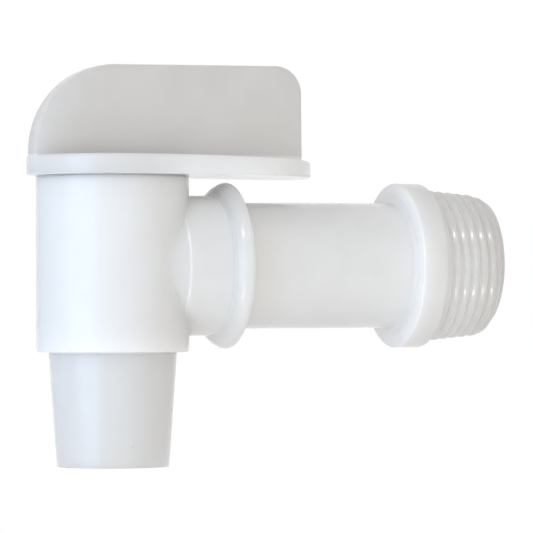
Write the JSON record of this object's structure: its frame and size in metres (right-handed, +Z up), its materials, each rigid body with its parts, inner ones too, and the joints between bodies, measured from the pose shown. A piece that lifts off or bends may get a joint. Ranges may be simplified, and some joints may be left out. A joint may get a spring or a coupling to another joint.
{
  "type": "spigot",
  "caption": "Milky plastic plug tap for a drum or carboy, with a tapered spout, a lever handle on a hollow turning plug, and a flanged inlet tube with a tapered male thread.",
  "frame": {"origin": "centre of the flange's seat face, on the inlet tube's axis", "axes": "+X along the inlet tube towards the threaded end, +Z up along the plug's axis towards the grip"},
  "size_m": [0.0861, 0.0306, 0.0715],
  "materials": {
    "natural_polyethylene": "unpigmented low-density polyethylene, milky and waxy with a soft gloss"
  },
  "bodies": {
    "tap": {"tap_body": "natural_polyethylene"},
    "handle": {"plug_handle": "natural_polyethylene"}
  },
  "joints": [
    {"name": "plug_turn", "type": "hinge", "parent": "tap", "child": "handle", "pos_m": [-0.0586, 0, 0], "axis": [0, 0, 1], "continuous": true}
  ]
}
